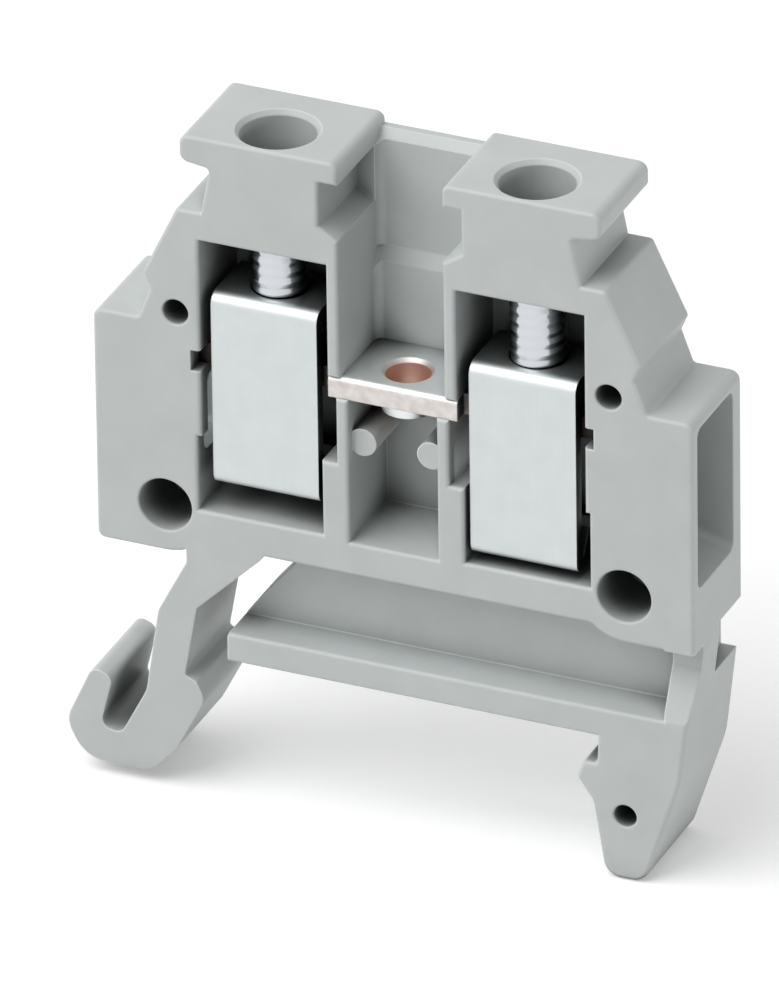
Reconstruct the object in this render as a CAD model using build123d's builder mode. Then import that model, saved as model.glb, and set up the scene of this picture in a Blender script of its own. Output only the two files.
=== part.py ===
from build123d import *
import os

# Micro terminal block for a 15 mm rail: one moulded housing, open on its front side, with a
# current bar and two rising-cage screw clamps. X runs along the wires, Y along the rail and
# Z up. The origin is on the rail seat, midway between the screws and at mid thickness.

os.makedirs("parts", exist_ok=True)

# Thickness of the block
pitch = 4.2
side_wall = 0.6
liner = 0.3
front_y = -pitch / 2
back_y = pitch / 2
recess_y = back_y - side_wall
cavity_y = recess_y - liner

# Rounding of the moulded edges
front_edge_r = 0.14
rim_r = 0.08
fine_r = 0.16
soft_r = 0.3
edge = 0.12

# Screws and the holes that lead to them
screw_x = 4.8
screw_depth = 1.65
screw_y = front_y + screw_depth
screw_r = 1.0
head_r = 1.27
head_height = 1.6
head_gap = 0.08
slot_width = 0.4
slot_depth = 0.75
tip_r = 0.75
tip_gap = 0.03
thread_gap = 0.03
access_r = head_r + head_gap
access_mouth = 0.15

# Clamping sleeves, folded from one strip that overlaps on top
strip = 0.45
seam = 0.04
fold_r = 0.45
sleeve_width = 3.95
sleeve_height = 7.45
sleeve_play = 0.05
sleeve_half_depth = screw_r + strip + sleeve_play
ridge_height = 0.9
ridge_base = 1.7
ridge_crest = 0.7
sleeve_above_bar = {"left": 1.31, "right": 0.56}

# Clamp cavities, open to the front
bar_z = 11.2
bar_thick = 0.8
bar_top_z = bar_z + bar_thick
gap_inside = 0.425
gap_outside = 0.375
cavity_in = screw_x - sleeve_width / 2 - gap_inside
cavity_out = screw_x + sleeve_width / 2 + gap_outside
gap_below = 0.3
cavity_above_bar = 4.3
lowest_sleeve_z = bar_top_z + min(sleeve_above_bar.values()) + 2 * strip + seam - sleeve_height
cavity_floor_z = lowest_sleeve_z - gap_below
cavity_top_z = bar_top_z + cavity_above_bar
step_outside = 0.16
step_inside = 0.25
step_below_bar = 2.55
step_z = bar_z - step_below_bar
neck_inside = 0.3
neck_x = cavity_in - neck_inside

# Current bar
bar_seat = 0.35
bar_half = cavity_out + bar_seat
bar_arm_width = 1.9
bar_set_back = 0.1
bridge_y = -0.6
bridge_r = 0.8
bridge_chamfer = 0.12
collar_wall = 0.3
collar_r = bridge_r + collar_wall
collar_taper = 15
collar_drop = 0.6
punch_r = 0.2

# Housing outline
body_top_z = 12.9
body_bottom_z = 3.9
face_bottom_z = 4.4
corner_r = 0.35
tower_height = 4.0
tower_top_z = cavity_top_z + tower_height
tower_wall = 0.65
inner_wall = 0.45
tower_in = cavity_in - inner_wall
tower_out = cavity_out + tower_wall
flange = 1.0
flange_r = 0.35
partition_drop = 0.4

# Marker grooves on the outer sides of the towers
groove_depth = 1.1
groove_slope = 0.15
groove_depth_low = 0.75
shoulder_drop = 2.9
shoulder = 0.15
slope_out = 1.45
slope_foot_z = body_top_z + 1.8
step_back = 0.25
step_drop = 0.6
step_foot = 0.2

# Recess between the towers and the pocket below the bar
recess_r = 0.3
ledge_z = 15.5
ledge_slope = 1.65
partition_z = tower_top_z - partition_drop
partition_lead = 0.3
undercut = 0.7
undercut_lip = 0.85
undercut_height = 1.7
undercut_slope = 0.45
neck = 0.45
pocket_half = neck_x - neck
pocket_floor_z = 5.65
pin_inside = 0.37
pin_x = pocket_half - pin_inside
pin_r = 0.52
pin_gap = 0.61
pin_z = bar_z - collar_drop - pin_gap - pin_r
pin_set_back = 0.4

# Wire funnels at both ends
mouth_front = 0.4
mouth_floor_z = 6.25
mouth_ceiling = 0.4
mouth_top_z = body_top_z - mouth_ceiling
throat_front = 0.6
throat_floor_z = 7.9
throat_under_bar = 0.45
throat_top_z = bar_z - throat_under_bar
funnel_r = 0.35

# Sockets and pegs that hold the blocks side by side, and core holes
socket_r = 1.0
socket_wall = 0.26
socket_depth = 2.6
socket_x = cavity_out + step_outside + socket_wall + socket_r
socket_z = 5.7
boss_r = socket_z - body_bottom_z
end_wall = 0.78
body_half = socket_x + boss_r + end_wall
peg_gap = 0.06
peg_length = 1.2
peg_lead = 0.2
core_depth = 2.4
tower_core_r = 0.475
tower_core = (cavity_out + 0.9, body_top_z + 0.45)

# Rail, rail seat and the panel recessed above it
rail_half = 7.5
rail_flange = 1.0
rail_gap = 0.05
flange_gap = 0.1
under_rail_z = -rail_flange - flange_gap
rib = 1.1
rib_left = -rail_half + 1.2
web_left = -rail_half + 3.9
web_r = 0.45
panel_depth = 1.6
panel_right = 10.0
bevel_depth = 0.9
bevel_z = 3.0

# Fixed hook foot
foot_tip_z = -5.45
foot_r = 0.65
hook_reach = 0.5
hook_inside = (rail_half - 0.75, -1.75)
hook_lead = (rail_half - 0.15, -2.6)
hook_toe = (rail_half + 0.3, foot_tip_z)
foot_heel = (rail_half + 1.75, foot_tip_z)
foot_knee = (rail_half + 3.1, -1.3)
foot_knee_r = 4.0
foot_top_z = 3.6
foot_core_r = 0.42
foot_core = (rail_half + 1.05, -2.95)
notch_floor_z = 2.1
notch_height = 2.0
notch_depth = 0.75

# Latch foot: a flexing arm, a nose under the rail and an upturned end for the screwdriver
latch_gap = 0.3
latch_tip_z = -5.0
root_inside = (-rail_half + 2.65, face_bottom_z)
knee_inside = (-rail_half + 0.05, 1.85)
nose_notch = (-rail_half - 0.45, under_rail_z + 0.2)
nose_top = (-rail_half, under_rail_z)
nose_end = (-rail_half + 0.3, -1.75)
nose_lead = (-rail_half - 0.8, -3.9)
latch_heel = (-rail_half - 1.8, latch_tip_z)
latch_toe = (-rail_half - 4.3, latch_tip_z)
latch_end = (-rail_half - 5.0, -3.6)
tip_outside = (-rail_half - 3.95, -1.3)
tip_inside = (-rail_half - 3.2, -1.6)
slot_outside = (-rail_half - 3.7, -3.6)
slot_inside = (-rail_half - 2.9, -3.75)
arm_low = (-rail_half - 1.9, -1.8)
arm_high = (-rail_half - 1.4, 1.5)
root_outside = (-rail_half - 0.3, 3.6)
nose_r = 0.8
heel_r = 0.9
toe_r = 1.3
end_r = 1.0
tip_top_r = 0.35
slot_r = 0.4
arm_r = 1.2
latch_sunk = 0.6


def upright(y):
    """Plane across the wires at one depth: local x is X, local y is Z, and it faces the front."""
    return Plane.XZ.offset(-y)


def both_sides(point):
    """The same place on the left and on the right of the block."""
    return (-point[0], point[1]), point


def beside_latch(line):
    """Whether an edge of the front lies on the latch, or on the body or the rib next to it."""
    middle = line.center()
    return middle.X < root_inside[0] and middle.Z < face_bottom_z - fine_r


# Housing: the block's whole outline, hollowed from the open front
with BuildPart() as housing:
    # Body and the two towers
    with BuildSketch(upright(back_y)):
        with BuildLine():
            FilletPolyline(
                (0, partition_z),
                (tower_in, partition_z),
                (tower_in, tower_top_z),
                (tower_out, tower_top_z),
                (tower_out, tower_top_z - flange),
                (tower_out - groove_depth, tower_top_z - flange - groove_slope),
                (tower_out - groove_depth_low, tower_top_z - shoulder_drop),
                (tower_out + shoulder, tower_top_z - shoulder_drop),
                (tower_out + slope_out, slope_foot_z),
                (tower_out + slope_out - step_back, slope_foot_z - step_drop),
                (tower_out + slope_out + step_foot, body_top_z),
                (body_half, body_top_z),
                (body_half, body_bottom_z),
                (socket_x, body_bottom_z),
                (socket_x, face_bottom_z),
                (0, face_bottom_z),
                radius=[0, soft_r, flange_r, flange_r, fine_r, 0, fine_r, fine_r, fine_r, fine_r,
                        corner_r, soft_r, 0, 0],
            )
            mirror(about=Plane.YZ)
        make_face()
        with Locations(*both_sides((socket_x, socket_z))):
            Circle(boss_r)
    extrude(amount=pitch)

    # Rail seat and fixed hook foot
    with BuildSketch(upright(back_y)):
        with BuildLine():
            FilletPolyline(
                (web_left, socket_z),
                (web_left, face_bottom_z),
                (rib_left, rib),
                (rib_left, 0),
                (rail_half + rail_gap, 0),
                (rail_half, under_rail_z),
                (rail_half - hook_reach, under_rail_z),
                hook_inside,
                hook_lead,
                hook_toe,
                foot_heel,
                foot_knee,
                (body_half, foot_top_z),
                (body_half, socket_z),
                radius=[0, web_r, web_r, 0, 0, fine_r, fine_r, soft_r, foot_r, foot_r, foot_r,
                        foot_knee_r, foot_r, 0],
                close=True,
            )
        make_face()
    extrude(amount=pitch)

    # Recessed panel between the rail seat and the front face
    with BuildSketch(upright(front_y)):
        with BuildLine():
            Polyline(
                (rib_left - rib, rib),
                (panel_right, rib),
                (panel_right, body_bottom_z),
                (socket_x, body_bottom_z),
                (socket_x, face_bottom_z),
                (rib_left - rib, face_bottom_z),
                close=True,
            )
        make_face()
        with Locations((socket_x, socket_z)):
            Circle(boss_r, mode=Mode.SUBTRACT)
    extrude(amount=-panel_depth, mode=Mode.SUBTRACT)

    # Latch foot
    with BuildSketch(upright(back_y - latch_gap)):
        with BuildLine():
            FilletPolyline(
                (root_inside[0], face_bottom_z + latch_sunk),
                root_inside,
                knee_inside,
                nose_notch,
                nose_top,
                nose_end,
                nose_lead,
                latch_heel,
                latch_toe,
                latch_end,
                tip_outside,
                tip_inside,
                slot_outside,
                slot_inside,
                arm_low,
                arm_high,
                root_outside,
                (root_outside[0], face_bottom_z + latch_sunk),
                radius=[0, foot_r, fine_r, fine_r, fine_r, foot_r, nose_r, heel_r, toe_r, end_r,
                        tip_top_r, tip_top_r, slot_r, slot_r, arm_r, arm_r, soft_r, 0],
                close=True,
            )
        make_face()
    extrude(amount=pitch - latch_gap)

    # Recess between the towers, rounded at the back, deeper above the ledge than below it
    for top_z, floor_z, end_y in ((tower_top_z, ledge_z, recess_y), (ledge_z, bar_top_z, cavity_y)):
        with BuildSketch(Plane.XY.offset(top_z)):
            with BuildLine():
                FilletPolyline(
                    (-tower_in, front_y),
                    (-tower_in, end_y),
                    (tower_in, end_y),
                    (tower_in, front_y),
                    radius=[0, recess_r, recess_r, 0],
                    close=True,
                )
            make_face()
        extrude(amount=floor_z - top_z, mode=Mode.SUBTRACT)

    # Sloping ledge in the recess, and a lead-in on top of the wall behind it
    ledge_run = liner + recess_r
    with BuildSketch(Plane.YZ.offset(-tower_in)):
        with BuildLine():
            Polyline(
                (recess_y, ledge_z),
                (recess_y - ledge_run, ledge_z),
                (recess_y - ledge_run, ledge_z - ledge_slope * ledge_run),
                close=True,
            )
        make_face()
        with BuildLine():
            Polyline(
                (recess_y + partition_lead, partition_z),
                (recess_y - recess_r, partition_z),
                (recess_y - recess_r, partition_z - partition_lead - recess_r),
                close=True,
            )
        make_face()
    extrude(amount=2 * tower_in, mode=Mode.SUBTRACT)

    # Undercut behind each inner flange
    with BuildSketch(upright(front_y)):
        for side in (-1, 1):
            lip_z = tower_top_z - undercut_lip
            with BuildLine():
                Polyline(
                    (side * tower_in, lip_z),
                    (side * (tower_in + undercut), lip_z),
                    (side * (tower_in + undercut), lip_z - undercut_height),
                    (side * tower_in, lip_z - undercut_height - undercut_slope),
                    close=True,
                )
            make_face()
    extrude(amount=-(cavity_y - front_y), mode=Mode.SUBTRACT)

    # Clamp cavities, the space for the bar and the pocket below it
    with BuildSketch(upright(front_y)):
        with Locations((0, (bar_z + pocket_floor_z) / 2)):
            Rectangle(2 * pocket_half, bar_z - pocket_floor_z)
        with Locations((0, (bar_z + bar_top_z) / 2)):
            Rectangle(2 * cavity_in, bar_thick)
        for side in (-1, 1):
            with BuildLine():
                Polyline(
                    (side * cavity_in, cavity_top_z),
                    (side * cavity_in, bar_top_z),
                    (side * neck_x, bar_top_z),
                    (side * neck_x, step_z),
                    (side * (cavity_in + step_inside), step_z),
                    (side * (cavity_in + step_inside), cavity_floor_z),
                    (side * (cavity_out + step_outside), cavity_floor_z),
                    (side * (cavity_out + step_outside), step_z),
                    (side * cavity_out, step_z),
                    (side * cavity_out, cavity_top_z),
                    close=True,
                )
            make_face()
    extrude(amount=-(cavity_y - front_y), mode=Mode.SUBTRACT)

    # Rounded edges round the open front, the flexing latch apart
    front_lines = housing.edges().group_by(Axis.Y)[0].filter_by(GeomType.LINE)
    fillet(front_lines.filter_by(lambda line: not beside_latch(line)), front_edge_r)

    # Slots in the outer cavity walls for the ends of the bar
    bar_back_y = screw_y + bar_arm_width / 2
    with BuildSketch(upright(front_y)):
        with Locations((0, (bar_z + bar_top_z) / 2)):
            Rectangle(2 * bar_half, bar_thick)
    extrude(amount=-(bar_back_y - front_y), mode=Mode.SUBTRACT)

    # Sockets and core holes in the front
    with BuildSketch(upright(front_y)):
        with Locations(*both_sides((socket_x, socket_z))):
            Circle(socket_r)
    extrude(amount=-socket_depth, mode=Mode.SUBTRACT)
    with BuildSketch(upright(front_y)):
        with Locations(*both_sides(tower_core)):
            Circle(tower_core_r)
        with Locations(foot_core):
            Circle(foot_core_r)
    extrude(amount=-core_depth, mode=Mode.SUBTRACT)
    hole_rims = housing.edges().group_by(Axis.Y)[0].filter_by(lambda rim: rim.is_closed)
    fillet(hole_rims, rim_r)

    # Bevel that leads from the rib back to the panel, open to the outer side
    with BuildSketch(Plane.YZ.offset(panel_right)):
        with BuildLine():
            Polyline(
                (front_y, rib),
                (front_y + bevel_depth, bevel_z),
                (front_y + bevel_depth, body_bottom_z),
                (front_y, body_bottom_z),
                close=True,
            )
        make_face()
    extrude(amount=body_half, mode=Mode.SUBTRACT)

    # Two pins under the bar
    with BuildSketch(upright(cavity_y)):
        with Locations(*both_sides((pin_x, pin_z))):
            Circle(pin_r)
    extrude(amount=cavity_y - front_y - pin_set_back)

    # Wire funnels: a wide mouth at each end that narrows to the sleeve
    mouth_width = recess_y - front_y - mouth_front
    mouth_y = recess_y - mouth_width / 2
    throat_width = cavity_y - front_y - throat_front
    throat_y = cavity_y - throat_width / 2
    for side in (-1, 1):
        with BuildSketch(Plane.YZ.offset(side * body_half)):
            with Locations((mouth_y, (mouth_top_z + mouth_floor_z) / 2)):
                RectangleRounded(mouth_width, mouth_top_z - mouth_floor_z, funnel_r)
        with BuildSketch(Plane.YZ.offset(side * (cavity_out - fine_r))):
            with Locations((throat_y, (throat_top_z + throat_floor_z) / 2)):
                RectangleRounded(throat_width, throat_top_z - throat_floor_z, funnel_r)
        loft(mode=Mode.SUBTRACT)

    # Screw holes from the tower tops down to the cavities
    with Locations(Plane.XY.offset(tower_top_z)):
        with Locations((-screw_x, screw_y), (screw_x, screw_y)):
            CounterSinkHole(access_r, access_r + access_mouth, depth=tower_height + fine_r)

    # Notch in the outer side of the fixed foot, open to the closed side
    with BuildSketch(upright(back_y)):
        with Locations((body_half, notch_floor_z + notch_height / 2)):
            Rectangle(2 * notch_depth, notch_height)
    extrude(amount=pitch / 2 - fine_r, mode=Mode.SUBTRACT)

    # Pegs on the closed side
    with BuildSketch(upright(back_y)):
        with Locations(*both_sides((socket_x, socket_z))):
            Circle(socket_r - peg_gap)
    extrude(amount=-peg_length)
    chamfer(housing.faces().sort_by(Axis.Y)[-2:].edges(), peg_lead)

housing.part.label = "housing"
export_step(housing.part, "parts/housing.step")


# Current bar: a stamped strip, wide between the towers, with a drawn and tapped collar
with BuildPart() as current_bar:
    with BuildSketch(Plane.XY.offset(bar_z)):
        with Locations((0, (front_y + bar_set_back + cavity_y) / 2)):
            Rectangle(2 * cavity_in, cavity_y - front_y - bar_set_back)
        with Locations((0, screw_y)):
            Rectangle(2 * bar_half, bar_arm_width)
    extrude(amount=bar_thick)
    fillet(current_bar.edges().group_by(Axis.Z)[-1].sort_by(Axis.Y)[0], punch_r)
    with BuildSketch(Plane.XY.offset(bar_z)):
        with Locations((0, bridge_y)):
            Circle(collar_r)
    extrude(amount=-collar_drop, taper=collar_taper)
    with Locations(Plane.XY.offset(bar_top_z)):
        with Locations((0, bridge_y)):
            CounterSinkHole(bridge_r, bridge_r + bridge_chamfer, depth=bar_thick + collar_drop)

current_bar.part.label = "current_bar"
export_step(current_bar.part, "parts/current_bar.step")


def clamping_sleeve(side, above_bar):
    """One folded sleeve: a closed loop of strip, open along the wire, tapped on top."""
    inner_top_z = bar_top_z + above_bar
    top_z = inner_top_z + 2 * strip + seam
    bottom_z = top_z - sleeve_height
    inner_floor_z = bottom_z + strip
    inner_depth = 2 * (sleeve_half_depth - strip)
    sleeve_front = screw_y - sleeve_half_depth
    sleeve_back = screw_y + sleeve_half_depth
    with BuildPart() as sleeve:
        with BuildSketch(Plane.YZ.offset(side * screw_x - sleeve_width / 2)):
            with Locations((screw_y, (top_z + bottom_z) / 2)):
                RectangleRounded(2 * sleeve_half_depth, sleeve_height, fold_r)
            with Locations((screw_y, (inner_top_z + inner_floor_z) / 2)):
                Rectangle(inner_depth, inner_top_z - inner_floor_z, mode=Mode.SUBTRACT)
            # Seam between the two layers on top, where the strip ends
            with Locations(((sleeve_front + strip + sleeve_back) / 2, top_z - strip - seam / 2)):
                Rectangle(sleeve_back - sleeve_front - strip, seam, mode=Mode.SUBTRACT)
            with Locations((sleeve_front + strip + seam / 2, top_z - 1.5 * strip - seam / 2)):
                Rectangle(seam, strip + seam, mode=Mode.SUBTRACT)
            # Floor pressed up into a ridge that bites the wire
            with BuildLine():
                Polyline(
                    (screw_y - ridge_base / 2, inner_floor_z),
                    (screw_y - ridge_crest / 2, inner_floor_z + ridge_height),
                    (screw_y + ridge_crest / 2, inner_floor_z + ridge_height),
                    (screw_y + ridge_base / 2, inner_floor_z),
                    close=True,
                )
            make_face()
            with BuildLine():
                Polyline(
                    (screw_y - ridge_crest, bottom_z),
                    (screw_y - ridge_crest / 4, bottom_z + ridge_height),
                    (screw_y + ridge_crest / 4, bottom_z + ridge_height),
                    (screw_y + ridge_crest, bottom_z),
                    close=True,
                )
            make_face(mode=Mode.SUBTRACT)
        extrude(amount=sleeve_width)
        with Locations(Plane.XY.offset(top_z)):
            with Locations((side * screw_x, screw_y)):
                Hole(screw_r + thread_gap, depth=2 * strip + seam)
    return sleeve


def clamping_screw(side):
    """One slotted clamping screw, standing on the bar with its head in the tower."""
    tip_z = bar_top_z + tip_gap
    head_z = cavity_top_z + head_gap
    with BuildPart() as screw:
        with BuildSketch(Plane.XZ.offset(-screw_y)):
            with BuildLine():
                Polyline(
                    (0, tip_z),
                    (tip_r, tip_z),
                    (screw_r, tip_z + screw_r - tip_r),
                    (screw_r, head_z),
                    (head_r, head_z),
                    (head_r, head_z + head_height - edge),
                    (head_r - edge, head_z + head_height),
                    (0, head_z + head_height),
                    close=True,
                )
            make_face()
        revolve(axis=Axis((0, screw_y, 0), (0, 0, 1)))
        with BuildSketch(Plane.XY.offset(head_z + head_height)):
            with Locations((0, screw_y)):
                Rectangle(3 * head_r, slot_width)
        extrude(amount=-slot_depth, mode=Mode.SUBTRACT)
    return screw.part.moved(Location((side * screw_x, 0, 0)))


for name, side in (("left", -1), ("right", 1)):
    sleeve = clamping_sleeve(side, sleeve_above_bar[name])
    sleeve.part.label = f"clamping_sleeve_{name}"
    export_step(sleeve.part, f"parts/clamping_sleeve_{name}.step")
    screw_part = clamping_screw(side)
    screw_part.label = f"clamping_screw_{name}"
    export_step(screw_part, f"parts/clamping_screw_{name}.step")
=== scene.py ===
import math

import bmesh
import bpy
from bpy.props import FloatProperty, FloatVectorProperty, PointerProperty
from mathutils import Matrix, Vector


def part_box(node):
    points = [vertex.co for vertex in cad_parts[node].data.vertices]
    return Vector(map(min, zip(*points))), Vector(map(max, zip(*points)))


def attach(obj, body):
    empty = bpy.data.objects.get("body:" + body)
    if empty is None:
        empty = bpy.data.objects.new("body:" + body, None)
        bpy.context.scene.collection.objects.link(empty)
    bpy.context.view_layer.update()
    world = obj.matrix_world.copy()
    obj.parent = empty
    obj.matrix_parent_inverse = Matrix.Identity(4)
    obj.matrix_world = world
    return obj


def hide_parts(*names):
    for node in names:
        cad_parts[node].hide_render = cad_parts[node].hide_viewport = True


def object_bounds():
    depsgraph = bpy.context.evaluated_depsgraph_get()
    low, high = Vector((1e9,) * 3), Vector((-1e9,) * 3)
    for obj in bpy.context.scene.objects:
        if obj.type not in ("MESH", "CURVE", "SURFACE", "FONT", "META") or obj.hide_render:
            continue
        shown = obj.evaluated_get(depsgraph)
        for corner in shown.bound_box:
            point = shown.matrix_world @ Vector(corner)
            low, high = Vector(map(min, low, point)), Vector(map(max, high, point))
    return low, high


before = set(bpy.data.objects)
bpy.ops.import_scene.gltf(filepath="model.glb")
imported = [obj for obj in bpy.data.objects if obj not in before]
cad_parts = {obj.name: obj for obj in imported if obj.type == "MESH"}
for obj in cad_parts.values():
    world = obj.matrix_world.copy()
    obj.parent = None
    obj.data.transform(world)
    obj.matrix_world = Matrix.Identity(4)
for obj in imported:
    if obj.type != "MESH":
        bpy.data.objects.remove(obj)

CAD_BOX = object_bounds()

bl_info = {
    "name": "Micro terminal block",
    "version": (1, 0, 0),
    "blender": (4, 5, 0),
    "location": "3D View > Sidebar > Terminal block",
    "description": "Finishes the packed terminal block and sets it on a pale floor",
    "category": "Object",
}

MM = 0.001
SIDES = ("left", "right")
# The bar's tapped hole stands this far from mid thickness, towards the open side
BORE_Y = -0.6 * MM
# The bar's underside: below it the collar is drawn
BAR_THICKNESS = 0.8 * MM
BAR_UNDERSIDE_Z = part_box("current_bar")[1].z - BAR_THICKNESS
# The bar's arms lie further than this from the middle, in the clamp cavities
ARM_X = 2.5 * MM
# The picture is 779 by 1000 pixels, and the lens is given for its longer side
SENSOR = 36.0
# Sockets of a Mix node that mixes two colours
SHARE, FIRST, SECOND, MIXED = 0, 6, 7, 2


def linear(code):
    """Linear colour for an sRGB hex value."""
    channels = [int(code[i:i + 2], 16) / 255 for i in (0, 2, 4)]
    return tuple(c / 12.92 if c <= 0.04045 else ((c + 0.055) / 1.055) ** 2.4 for c in channels)


def toned(colour, gain=1.0):
    """A colour with its alpha, made so many times lighter, but no lighter than white."""
    return (*[min(1, c * gain) for c in colour], 1)


def add_node(tree, kind, inputs=None, **settings):
    """Adds a node; inputs gives sockets, by name or number, a value or another node's output."""
    made = tree.nodes.new(kind)
    for name, value in settings.items():
        setattr(made, name, value)
    for socket, value in (inputs or {}).items():
        if isinstance(value, bpy.types.NodeSocket):
            tree.links.new(value, made.inputs[socket])
        else:
            made.inputs[socket].default_value = value
    return made


def new_material(name):
    """An empty node material and its tree."""
    material = bpy.data.materials.new(name)
    material.use_nodes = True
    material.node_tree.nodes.clear()
    return material, material.node_tree


def dress(piece, material):
    """Gives a piece one material all over."""
    piece.data.materials.clear()
    piece.data.materials.append(material)
    piece.data.polygons.foreach_set("material_index", [0] * len(piece.data.polygons))
    piece.data.update()


# Sizes and colours that a user would change

class BlockHousingSettings(bpy.types.PropertyGroup):
    """Look of the moulded housing"""
    colour: FloatVectorProperty(
        name="Colour", description="Colour of the moulded housing",
        subtype="COLOR", size=3, min=0, max=1, default=linear("BFC4C3"),
    )
    grain: FloatProperty(
        name="Grain", description="Width of one grain of the mould's spark-eroded texture",
        unit="LENGTH", default=0.11 * MM, min=0.02 * MM, precision=6,
    )
    edge_radius: FloatProperty(
        name="Edge radius", description="Radius of the moulded edges",
        unit="LENGTH", default=0.1 * MM, min=0, precision=6,
    )
    # Painted highlight: how much lighter the moulded edges are painted
    edge_highlight_gain: FloatProperty(
        name="Edge gain", description="How many times lighter the rubbed edges are",
        default=1.75, min=1, max=2,
    )
    # Painted shade: the reach of the darkening in the recesses
    painted_shade_reach: FloatProperty(
        name="Recess reach", description="Size of the recesses that look darker than the open faces",
        unit="LENGTH", default=2.2 * MM, min=0.1 * MM, precision=6,
    )


class BlockMetalSettings(bpy.types.PropertyGroup):
    """Looks of the bar, the sleeves and the screws, and the sizes of the threaded screws"""
    zinc: FloatVectorProperty(
        name="Zinc", description="Colour of the zinc-plated clamping sleeves",
        subtype="COLOR", size=3, min=0, max=1, default=linear("D1D6D6"),
    )
    tin: FloatVectorProperty(
        name="Tin", description="Colour of the tin plating on the current bar",
        subtype="COLOR", size=3, min=0, max=1, default=linear("EDF0F0"),
    )
    cut_edge: FloatVectorProperty(
        name="Cut edge", description="Colour of the bar's sheared edges, thinly tinned",
        subtype="COLOR", size=3, min=0, max=1, default=linear("CBC3BF"),
    )
    # Painted shade: the dark colour of the bar's arms out in the clamp cavities
    arm_shade: FloatVectorProperty(
        name="Dull arm", description="Colour of the bar's arms under the wires",
        subtype="COLOR", size=3, min=0, max=1, default=linear("4A3C34"),
    )
    copper: FloatVectorProperty(
        name="Copper", description="Colour of the bare copper in the bar's bore",
        subtype="COLOR", size=3, min=0, max=1, default=linear("E0B9A8"),
    )
    screw: FloatVectorProperty(
        name="Screw steel", description="Colour of the clamping screws",
        subtype="COLOR", size=3, min=0, max=1, default=linear("C9CCD0"),
    )
    edge_radius: FloatProperty(
        name="Edge radius", description="Radius that tumbling leaves on the stamped edges",
        unit="LENGTH", default=0.08 * MM, min=0, precision=6,
    )
    screw_edge_radius: FloatProperty(
        name="Screw edge radius", description="Radius of the turned and rolled edges",
        unit="LENGTH", default=0.03 * MM, min=0, precision=6,
    )
    # Painted shade: the reach within which walls darken the metal
    painted_shade_reach: FloatProperty(
        name="Recess reach", description="Distance within which walls keep the metal dull",
        unit="LENGTH", default=2 * MM, min=0.1 * MM, precision=6,
    )
    bore_radius: FloatProperty(
        name="Bore radius", description="Radius within which the bar's copper is bare",
        unit="LENGTH", default=0.86 * MM, min=0, precision=6,
    )
    thread_pitch: FloatProperty(
        name="Thread pitch", description="Rise of the screw thread in one turn",
        unit="LENGTH", default=0.4 * MM, min=0.1 * MM, precision=6,
    )
    thread_depth: FloatProperty(
        name="Thread depth", description="Depth of the thread, drawn shallow: the shank looks smooth",
        unit="LENGTH", default=0.04 * MM, min=0, precision=6,
    )
    head_height: FloatProperty(
        name="Head height", description="Height of the screw's head",
        unit="LENGTH", default=1.6 * MM, min=0, precision=6,
    )
    shank_radius: FloatProperty(
        name="Shank radius", description="Outer radius of the screw thread",
        unit="LENGTH", default=1.0 * MM, min=0, precision=6,
    )


class BlockStageSettings(bpy.types.PropertyGroup):
    """Camera, floor and light"""
    camera_place: FloatVectorProperty(
        name="Camera place", description="Where the camera stands",
        subtype="TRANSLATION", size=3, default=(0.2463, -0.5612, 0.3472),
    )
    camera_up: FloatVectorProperty(
        name="Camera up", description="Direction that points up in the picture",
        subtype="DIRECTION", size=3, default=(-0.171, 0.422, 0.890),
    )
    aim: FloatVectorProperty(
        name="Aim", description="Point at the middle of the picture",
        subtype="TRANSLATION", size=3, default=(-0.0006, -0.001, 0.0070),
    )
    lens: FloatProperty(
        name="Lens", description="Focal length", unit="CAMERA", default=735.0, min=50,
    )
    floor_colour: FloatVectorProperty(
        name="Floor", description="Colour of the floor",
        subtype="COLOR", size=3, min=0, max=1, default=linear("E8E8E8"),
    )
    floor_lift: FloatProperty(
        name="Floor lift", description="What brings the lit floor up to white in the picture",
        default=0.32, min=0, max=1,
    )
    sky: FloatProperty(
        name="Sky", description="Strength of the soft light from all round",
        default=0.40, min=0, max=1,
    )
    sky_lean: FloatProperty(
        name="Sky lean", description="How much stronger that light is on the left",
        default=0.36, min=0, max=1,
    )
    key_power: FloatProperty(
        name="Key lamp", description="Power of the large lamp above", unit="POWER",
        default=1.65, min=0,
    )
    fill_power: FloatProperty(
        name="Fill lamp", description="Power of the low lamp on the right", unit="POWER",
        default=0.2, min=0,
    )


class BlockSettings(bpy.types.PropertyGroup):
    """All that a user would change"""
    housing: PointerProperty(type=BlockHousingSettings, name="Housing", description="Housing")
    metal: PointerProperty(type=BlockMetalSettings, name="Metal", description="Metal parts")
    stage: PointerProperty(
        type=BlockStageSettings, name="Stage", description="Floor, lamps and camera")


# Materials

def painted_recess_shade(tree, colour, reach, closed, open_at, darkest):
    """Painted shade: darkens a colour deep in recesses, where shade leaves the real block nearly
    black.

    closed and open_at are the open shares of the hemisphere at which the shade is full and gone,
    and darkest is what the full shade multiplies the colour by.
    """
    sky = add_node(tree, "ShaderNodeAmbientOcclusion", {"Distance": reach}, samples=8)
    shade = add_node(
        tree, "ShaderNodeMapRange",
        {"Value": sky.outputs["AO"], "From Min": closed, "From Max": open_at,
         "To Min": darkest, "To Max": 1.0})
    shaded = add_node(
        tree, "ShaderNodeMix", {SHARE: 1.0, FIRST: colour, SECOND: shade.outputs["Result"]},
        data_type="RGBA", blend_type="MULTIPLY")
    return shaded.outputs[MIXED]


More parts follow.
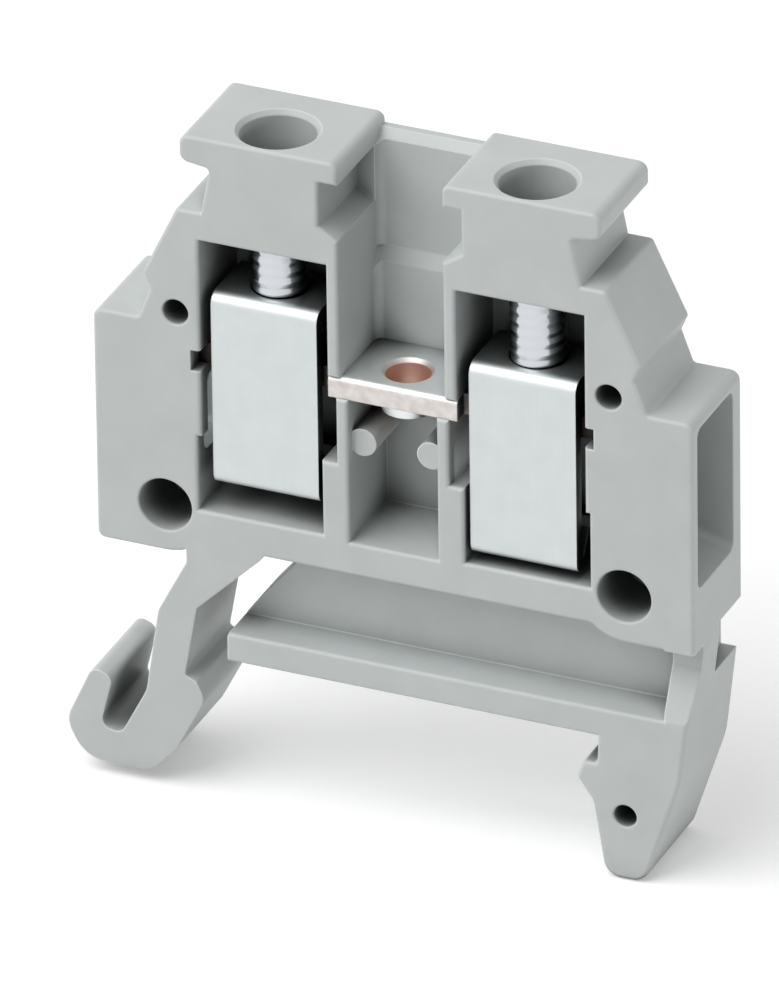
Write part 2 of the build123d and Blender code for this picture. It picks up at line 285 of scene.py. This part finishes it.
def moulded_polyamide(look):
    """Injection-moulded grey polyamide: satin, with the fine grain of a spark-eroded mould."""
    cloud_width = 1.6 * MM
    cloud_dark, cloud_light = 0.91, 1.07
    smoothest, roughest = 0.42, 0.54
    grain_depth = 0.004 * MM
    material, tree = new_material("moulded_polyamide")
    place = add_node(tree, "ShaderNodeTexCoord")
    # The flow in the mould leaves faint clouds in the grey
    clouds = add_node(
        tree, "ShaderNodeTexNoise",
        {"Vector": place.outputs["Object"], "Scale": 1 / cloud_width, "Detail": 4.0})
    tint = add_node(
        tree, "ShaderNodeMix",
        {SHARE: clouds.outputs["Fac"], FIRST: toned(look.colour, cloud_dark),
         SECOND: toned(look.colour, cloud_light)},
        data_type="RGBA")
    # A real grain is about 0.03 mm wide, too fine to show, so it is drawn coarser
    grain = add_node(
        tree, "ShaderNodeTexNoise",
        {"Vector": place.outputs["Object"], "Scale": 1 / look.grain, "Detail": 2.0,
         "Roughness": 0.6})
    gloss = add_node(
        tree, "ShaderNodeMapRange",
        {"Value": clouds.outputs["Fac"], "To Min": smoothest, "To Max": roughest})
    rounded = add_node(tree, "ShaderNodeBevel", {"Radius": look.edge_radius}, samples=6)
    # Painted highlight along the moulded edges: they are lighter where the rounded normal turns from
    # the face's own
    surface = add_node(tree, "ShaderNodeNewGeometry")
    turn = add_node(
        tree, "ShaderNodeVectorMath",
        {0: rounded.outputs["Normal"], 1: surface.outputs["Normal"]}, operation="DOT_PRODUCT")
    edge = add_node(
        tree, "ShaderNodeMapRange",
        {"Value": turn.outputs["Value"], "From Min": 0.8, "From Max": 0.99,
         "To Min": 1.0, "To Max": 0.0})
    highlit = add_node(
        tree, "ShaderNodeMix",
        {SHARE: edge.outputs["Result"], FIRST: tint.outputs[MIXED],
         SECOND: toned(look.colour, look.edge_highlight_gain)},
        data_type="RGBA")
    relief = add_node(
        tree, "ShaderNodeBump",
        {"Height": grain.outputs["Fac"], "Distance": grain_depth, "Strength": 0.6,
         "Normal": rounded.outputs["Normal"]})
    # Painted shade: the grey is darkened deep in the recesses
    colour = painted_recess_shade(
        tree, highlit.outputs[MIXED], look.painted_shade_reach, closed=0.18, open_at=0.60, darkest=0.12)
    shader = add_node(
        tree, "ShaderNodeBsdfPrincipled",
        {"Base Color": colour, "Roughness": gloss.outputs["Result"],
         "Normal": relief.outputs["Normal"], "IOR": 1.53})
    add_node(tree, "ShaderNodeOutputMaterial", {"Surface": shader.outputs["BSDF"]})
    return material


def zinc_plated_strip(look):
    """Zinc-plated steel strip: satin grey-white metal with faint rolling lines along the strip."""
    line_width, line_length = 0.12 * MM, 3 * MM
    line_depth = 0.003 * MM
    mottle_width = 0.9 * MM
    mottle_dark = 0.9
    smoothest, roughest = 0.42, 0.56
    material, tree = new_material("zinc_plated_strip")
    place = add_node(tree, "ShaderNodeTexCoord")
    # Real rolling lines are a few hundredths of a millimetre wide, so they are drawn coarser
    stretched = add_node(
        tree, "ShaderNodeMapping",
        {"Vector": place.outputs["Object"],
         "Scale": (1 / line_width, 1 / line_length, 1 / line_length)})
    lines = add_node(
        tree, "ShaderNodeTexNoise",
        {"Vector": stretched.outputs["Vector"], "Scale": 1.0, "Detail": 3.0})
    mottle = add_node(
        tree, "ShaderNodeTexNoise",
        {"Vector": place.outputs["Object"], "Scale": 1 / mottle_width, "Detail": 3.0})
    tint = add_node(
        tree, "ShaderNodeMix",
        {SHARE: mottle.outputs["Fac"], FIRST: toned(look.zinc, mottle_dark),
         SECOND: toned(look.zinc)},
        data_type="RGBA")
    gloss = add_node(
        tree, "ShaderNodeMapRange",
        {"Value": lines.outputs["Fac"], "To Min": smoothest, "To Max": roughest})
    rounded = add_node(tree, "ShaderNodeBevel", {"Radius": look.edge_radius}, samples=6)
    relief = add_node(
        tree, "ShaderNodeBump",
        {"Height": lines.outputs["Fac"], "Distance": line_depth, "Strength": 0.5,
         "Normal": rounded.outputs["Normal"]})
    # Painted shade: the zinc is darkened deep in the cavities
    colour = painted_recess_shade(
        tree, tint.outputs[MIXED], look.painted_shade_reach, closed=0.4, open_at=0.8, darkest=0.04)
    shader = add_node(
        tree, "ShaderNodeBsdfPrincipled",
        {"Base Color": colour, "Metallic": 1.0, "Roughness": gloss.outputs["Result"],
         "Normal": relief.outputs["Normal"]})
    add_node(tree, "ShaderNodeOutputMaterial", {"Surface": shader.outputs["BSDF"]})
    return material


def tinned_copper(look):
    """Stamped copper strip, tin-plated: satin tin, thin at the sheared edges, bare in the bore."""
    mottle_width = 0.35 * MM
    smoothest, roughest = 0.45, 0.65
    # Painted shade on the arms fades in over arm_fade
    collar_fade, bore_fade, arm_fade = 0.05 * MM, 0.06 * MM, 0.3 * MM
    arm_shade_share = 0.9
    material, tree = new_material("tinned_copper")
    place = add_node(tree, "ShaderNodeTexCoord")
    height = add_node(tree, "ShaderNodeSeparateXYZ", {"Vector": place.outputs["Object"]})
    mottle = add_node(
        tree, "ShaderNodeTexNoise",
        {"Vector": place.outputs["Object"], "Scale": 1 / mottle_width, "Detail": 4.0})
    facing = add_node(tree, "ShaderNodeSeparateXYZ", {"Vector": place.outputs["Normal"]})
    flatness = add_node(
        tree, "ShaderNodeMath", {0: facing.outputs["Z"]}, operation="ABSOLUTE")
    upright = add_node(
        tree, "ShaderNodeMapRange",
        {"Value": flatness.outputs["Value"], "From Min": 0.3, "From Max": 0.8,
         "To Min": 1.0, "To Max": 0.0})
    # The sheared edges are the upright faces above the drawn collar, where the tin is patchy
    above_collar = add_node(
        tree, "ShaderNodeMapRange",
        {"Value": height.outputs["Z"], "From Min": BAR_UNDERSIDE_Z - collar_fade,
         "From Max": BAR_UNDERSIDE_Z})
    sheared = add_node(
        tree, "ShaderNodeMath",
        {0: above_collar.outputs["Result"], 1: upright.outputs["Result"]}, operation="MULTIPLY")
    thin_tin = add_node(
        tree, "ShaderNodeMapRange",
        {"Value": mottle.outputs["Fac"], "From Min": 0.3, "From Max": 0.7,
         "To Min": 0.6, "To Max": 1.0})
    sheared_share = add_node(
        tree, "ShaderNodeMath",
        {0: sheared.outputs["Value"], 1: thin_tin.outputs["Result"]}, operation="MULTIPLY")
    plated = add_node(
        tree, "ShaderNodeMix",
        {SHARE: sheared_share.outputs["Value"], FIRST: toned(look.tin),
         SECOND: toned(look.cut_edge)},
        data_type="RGBA")
    # Painted shade: the bar's arms, out in the clamp cavities, are painted dark brown
    aside = add_node(tree, "ShaderNodeMath", {0: height.outputs["X"]}, operation="ABSOLUTE")
    on_arm = add_node(
        tree, "ShaderNodeMapRange",
        {"Value": aside.outputs["Value"], "From Min": ARM_X, "From Max": ARM_X + arm_fade,
         "To Max": arm_shade_share})
    arm_shaded = add_node(
        tree, "ShaderNodeMix",
        {SHARE: on_arm.outputs["Result"], FIRST: plated.outputs[MIXED],
         SECOND: toned(look.arm_shade)},
        data_type="RGBA")
    # Painted shade: the tin and the arms are darkened deep in the recesses
    shaded = painted_recess_shade(
        tree, arm_shaded.outputs[MIXED], look.painted_shade_reach, closed=0.3, open_at=0.65, darkest=0.04)
    # The tapped hole's wall is bare copper, and the painted recess shade stays off it
    level = add_node(
        tree, "ShaderNodeVectorMath",
        {0: place.outputs["Object"], 1: (1, 1, 0)}, operation="MULTIPLY")
    reach = add_node(
        tree, "ShaderNodeVectorMath",
        {0: level.outputs["Vector"], 1: (0, BORE_Y, 0)}, operation="DISTANCE")
    in_bore = add_node(
        tree, "ShaderNodeMapRange",
        {"Value": reach.outputs["Value"], "From Min": look.bore_radius,
         "From Max": look.bore_radius + bore_fade, "To Min": 1.0, "To Max": 0.0})
    bare = add_node(
        tree, "ShaderNodeMath",
        {0: in_bore.outputs["Result"], 1: upright.outputs["Result"]}, operation="MULTIPLY")
    tint = add_node(
        tree, "ShaderNodeMix",
        {SHARE: bare.outputs["Value"], FIRST: shaded, SECOND: toned(look.copper)},
        data_type="RGBA")
    gloss = add_node(
        tree, "ShaderNodeMapRange",
        {"Value": mottle.outputs["Fac"], "To Min": smoothest, "To Max": roughest})
    rounded = add_node(tree, "ShaderNodeBevel", {"Radius": look.edge_radius}, samples=6)
    shader = add_node(
        tree, "ShaderNodeBsdfPrincipled",
        {"Base Color": tint.outputs[MIXED], "Metallic": 1.0,
         "Roughness": gloss.outputs["Result"], "Normal": rounded.outputs["Normal"]})
    add_node(tree, "ShaderNodeOutputMaterial", {"Surface": shader.outputs["BSDF"]})
    return material


def bright_zinc_screw(look):
    """Turned steel screw with bright zinc plating: smoother than the sleeve, so that it mirrors."""
    mottle_width = 0.3 * MM
    smoothest, roughest = 0.12, 0.2
    material, tree = new_material("bright_zinc_screw")
    place = add_node(tree, "ShaderNodeTexCoord")
    mottle = add_node(
        tree, "ShaderNodeTexNoise",
        {"Vector": place.outputs["Object"], "Scale": 1 / mottle_width, "Detail": 3.0})
    gloss = add_node(
        tree, "ShaderNodeMapRange",
        {"Value": mottle.outputs["Fac"], "To Min": smoothest, "To Max": roughest})
    rounded = add_node(tree, "ShaderNodeBevel", {"Radius": look.screw_edge_radius}, samples=4)
    # Painted shade: the screw is darkened deep in the cavities
    colour = painted_recess_shade(
        tree, toned(look.screw), look.painted_shade_reach, closed=0.25, open_at=0.75, darkest=0.12)
    shader = add_node(
        tree, "ShaderNodeBsdfPrincipled",
        {"Base Color": colour, "Metallic": 1.0, "Roughness": gloss.outputs["Result"],
         "Normal": rounded.outputs["Normal"]})
    add_node(tree, "ShaderNodeOutputMaterial", {"Surface": shader.outputs["BSDF"]})
    return material


# Pieces

def cut_flat(mesh, height, keep):
    """Cuts a closed mesh level at a height, keeps what lies above (1) or below (-1), and caps it."""
    geometry = mesh.verts[:] + mesh.edges[:] + mesh.faces[:]
    cut = bmesh.ops.bisect_plane(
        mesh, geom=geometry, plane_co=(0, 0, height), plane_no=(0, 0, keep), clear_inner=True)
    rim = [part for part in cut["geom_cut"] if isinstance(part, bmesh.types.BMEdge)]
    bmesh.ops.edgeloop_fill(mesh, edges=rim)


def threaded_shank(mesh, axis, tip_z, top_z, radius, pitch, depth):
    """Adds a closed thread to the mesh: rows that climb the helix, cut flat at both ends."""
    segments = 64
    tip_radius = 0.75 * radius
    # Crest, falling flank, root and rising flank within one pitch
    profile = ((0.0, 0), (0.125, 0), (0.479, depth), (0.646, depth))
    # The helix starts below the tip and ends above the top, so that both cuts go right through
    turns_below, turns_above = 2, 1
    turns = turns_below + math.ceil((top_z - tip_z) / pitch) + turns_above
    rows = []
    for turn in range(turns):
        for share, cut in profile:
            row = []
            for k in range(segments):
                z = tip_z + pitch * (turn - turns_below + share + k / segments)
                # The tip narrows as a 45 degree cone
                r = min(radius - cut, tip_radius + max(0, z - tip_z))
                angle = 2 * math.pi * k / segments
                row.append(mesh.verts.new(
                    (axis[0] + r * math.cos(angle), axis[1] + r * math.sin(angle), z)))
            rows.append(row)
    steps = len(profile)
    for low in range(len(rows) - steps - 1):
        for k in range(segments):
            # The last column meets the first one a whole pitch further up
            if k + 1 < segments:
                corners = (rows[low][k], rows[low][k + 1], rows[low + 1][k + 1], rows[low + 1][k])
            else:
                corners = (rows[low][k], rows[low + steps][0], rows[low + steps + 1][0],
                           rows[low + 1][k])
            mesh.faces.new(corners)
    cut_flat(mesh, tip_z, 1)
    cut_flat(mesh, top_z, -1)


def threaded_screw(node, name, look):
    """The clamping screw with its thread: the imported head, on a new threaded shank."""
    crease = math.radians(35)
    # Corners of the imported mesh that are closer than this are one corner
    weld = 0.001 * MM
    # The head keeps this much of its own shank, and the new shank ends half way up it
    stub = 0.25 * MM
    low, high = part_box(node)
    axis = (low + high) / 2
    stub_z = high.z - look.head_height - stub
    mesh = bmesh.new()
    mesh.from_mesh(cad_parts[node].data)
    bmesh.ops.remove_doubles(mesh, verts=mesh.verts[:], dist=weld)
    cut_flat(mesh, stub_z, 1)
    shank = bmesh.new()
    threaded_shank(shank, axis, low.z, stub_z + stub / 2, look.shank_radius, look.thread_pitch,
                   look.thread_depth)
    part = bpy.data.meshes.new(name + "_shank")
    shank.to_mesh(part)
    shank.free()
    mesh.from_mesh(part)
    bpy.data.meshes.remove(part)
    bmesh.ops.recalc_face_normals(mesh, faces=mesh.faces[:])
    made = bpy.data.meshes.new(name)
    mesh.to_mesh(made)
    mesh.free()
    for polygon in made.polygons:
        polygon.use_smooth = True
    made.set_sharp_from_angle(angle=crease)
    piece = bpy.data.objects.new(name, made)
    bpy.context.scene.collection.objects.link(piece)
    return piece


# Stage

def seen_directly(tree):
    """1 for what the camera sees, also in a reflection or through glass, and 0 for bounced light."""
    path = add_node(tree, "ShaderNodeLightPath")
    mirrored = add_node(
        tree, "ShaderNodeMath",
        {0: path.outputs["Is Camera Ray"], 1: path.outputs["Is Glossy Ray"]}, operation="MAXIMUM")
    seen = add_node(
        tree, "ShaderNodeMath",
        {0: mirrored.outputs["Value"], 1: path.outputs["Is Transmission Ray"]}, operation="MAXIMUM")
    return seen.outputs["Value"]


def make_floor(look):
    """A large pale floor just under the feet."""
    half_width = 1.5
    gap = 0.02 * MM
    level = CAD_BOX[0][2] - gap
    mesh = bpy.data.meshes.new("floor")
    signs = ((-1, -1), (1, -1), (1, 1), (-1, 1))
    corners = [(half_width * x, half_width * y, level) for x, y in signs]
    mesh.from_pydata(corners, [], [(0, 1, 2, 3)])
    floor = bpy.data.objects.new("floor", mesh)
    bpy.context.scene.collection.objects.link(floor)
    material, tree = new_material("pale_floor")
    painted = add_node(tree, "ShaderNodeBsdfDiffuse", {"Color": toned(look.floor_colour)})
    lift = add_node(
        tree, "ShaderNodeMath",
        {0: seen_directly(tree), 1: look.floor_lift}, operation="MULTIPLY")
    glow = add_node(
        tree, "ShaderNodeEmission",
        {"Color": (1, 1, 1, 1), "Strength": lift.outputs["Value"]})
    both = add_node(
        tree, "ShaderNodeAddShader", {0: painted.outputs["BSDF"], 1: glow.outputs["Emission"]})
    add_node(tree, "ShaderNodeOutputMaterial", {"Surface": both.outputs["Shader"]})
    floor.data.materials.append(material)


def make_area_lamp(name, size, power, place, aim):
    """A square lamp that faces a point."""
    lamp = bpy.data.lights.new(name, "AREA")
    lamp.size = size
    lamp.energy = power
    holder = bpy.data.objects.new(name, lamp)
    holder.location = place
    holder.rotation_euler = (Vector(aim) - Vector(place)).to_track_quat("-Z", "Y").to_euler()
    bpy.context.scene.collection.objects.link(holder)


def make_lamps(look):
    """Soft studio light: a large lamp above on the left, a low one on the right, and the sky."""
    key_size, key_place = 0.4, (-0.15, -0.20, 0.38)
    # Behind the plane of the open side, so that it lights the right end and hardly a recess
    fill_size, fill_place = 0.06, (0.30, 0.04, 0.07)
    make_area_lamp("key", key_size, look.key_power, key_place, look.aim)
    make_area_lamp("fill", fill_size, look.fill_power, fill_place, look.aim)
    world = bpy.data.worlds.new("pale_world")
    world.use_nodes = True
    tree = world.node_tree
    tree.nodes.clear()
    toward = add_node(tree, "ShaderNodeTexCoord")
    along = add_node(tree, "ShaderNodeSeparateXYZ", {"Vector": toward.outputs["Generated"]})
    soft = add_node(
        tree, "ShaderNodeMapRange",
        {"Value": along.outputs["X"], "From Min": -1.0, "From Max": 1.0,
         "To Min": look.sky + look.sky_lean, "To Max": look.sky - look.sky_lean})
    strength = add_node(
        tree, "ShaderNodeMapRange",
        {"Value": seen_directly(tree), "To Min": soft.outputs["Result"], "To Max": 1.0})
    light = add_node(
        tree, "ShaderNodeBackground",
        {"Color": (1, 1, 1, 1), "Strength": strength.outputs["Result"]})
    add_node(tree, "ShaderNodeOutputWorld", {"Surface": light.outputs["Background"]})
    bpy.context.scene.world = world


def make_camera(look):
    """The photograph's viewpoint, with a longer lens that fills the picture with the one block."""
    lens = bpy.data.cameras.new("camera")
    lens.sensor_width = SENSOR
    lens.lens = look.lens
    lens.clip_start = 0.01
    lens.clip_end = 10
    camera = bpy.data.objects.new("camera", lens)
    back = (Vector(look.camera_place) - Vector(look.aim)).normalized()
    right = Vector(look.camera_up).cross(back).normalized()
    up = back.cross(right)
    turn = Matrix((right, up, back)).transposed().to_4x4()
    camera.matrix_world = Matrix.Translation(look.camera_place) @ turn
    bpy.context.scene.collection.objects.link(camera)
    bpy.context.scene.camera = camera


# Operators

class BLOCK_OT_housing(bpy.types.Operator):
    """Gives the housing its moulded polyamide"""
    bl_idname = "terminal_block.housing"
    bl_label = "Finish housing"

    def execute(self, context):
        look = context.scene.terminal_block.housing
        dress(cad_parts["housing"], moulded_polyamide(look))
        return {"FINISHED"}


class BLOCK_OT_current_bar(bpy.types.Operator):
    """Gives the current bar its tinned copper"""
    bl_idname = "terminal_block.current_bar"
    bl_label = "Finish current bar"

    def execute(self, context):
        look = context.scene.terminal_block.metal
        dress(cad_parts["current_bar"], tinned_copper(look))
        return {"FINISHED"}


class BLOCK_OT_sleeves(bpy.types.Operator):
    """Gives the clamping sleeves their zinc-plated strip"""
    bl_idname = "terminal_block.sleeves"
    bl_label = "Finish clamping sleeves"

    def execute(self, context):
        strip = zinc_plated_strip(context.scene.terminal_block.metal)
        for side in SIDES:
            dress(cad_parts[f"clamping_sleeve_{side}"], strip)
        return {"FINISHED"}


class BLOCK_OT_screws(bpy.types.Operator):
    """Makes the clamping screws with their threads"""
    bl_idname = "terminal_block.screws"
    bl_label = "Make clamping screws"

    def execute(self, context):
        look = context.scene.terminal_block.metal
        plating = bright_zinc_screw(look)
        for side in SIDES:
            node = f"clamping_screw_{side}"
            piece = threaded_screw(node, f"threaded_screw_{side}", look)
            dress(piece, plating)
            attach(piece, f"screw_{side}")
            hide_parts(node)
        return {"FINISHED"}


class BLOCK_OT_stage(bpy.types.Operator):
    """Makes the floor, the lamps, the world and the camera"""
    bl_idname = "terminal_block.stage"
    bl_label = "Make stage"

    def execute(self, context):
        look = context.scene.terminal_block.stage
        make_floor(look)
        make_lamps(look)
        make_camera(look)
        context.scene.view_settings.view_transform = "Standard"
        return {"FINISHED"}


class BLOCK_PT_panel(bpy.types.Panel):
    """Lists the steps and the sizes in the 3D view's sidebar"""
    bl_idname = "BLOCK_PT_panel"
    bl_label = "Micro terminal block"
    bl_space_type = "VIEW_3D"
    bl_region_type = "UI"
    bl_category = "Terminal block"

    def draw(self, context):
        settings = context.scene.terminal_block
        for group in (settings.housing, settings.metal, settings.stage):
            box = self.layout.box()
            for name in group.__annotations__:
                box.prop(group, name)
        for operator in OPERATORS:
            self.layout.operator(operator.bl_idname)


OPERATORS = (
    BLOCK_OT_housing, BLOCK_OT_current_bar, BLOCK_OT_sleeves, BLOCK_OT_screws, BLOCK_OT_stage,
)
CLASSES = (
    BlockHousingSettings, BlockMetalSettings, BlockStageSettings, BlockSettings,
    *OPERATORS, BLOCK_PT_panel,
)


def register():
    for made in CLASSES:
        bpy.utils.register_class(made)
    bpy.types.Scene.terminal_block = PointerProperty(type=BlockSettings)


def unregister():
    del bpy.types.Scene.terminal_block
    for made in reversed(CLASSES):
        bpy.utils.unregister_class(made)


def main():
    register()
    bpy.ops.terminal_block.housing()
    bpy.ops.terminal_block.current_bar()
    bpy.ops.terminal_block.sleeves()
    bpy.ops.terminal_block.screws()
    bpy.ops.terminal_block.stage()


if __name__ == "__main__":
    main()
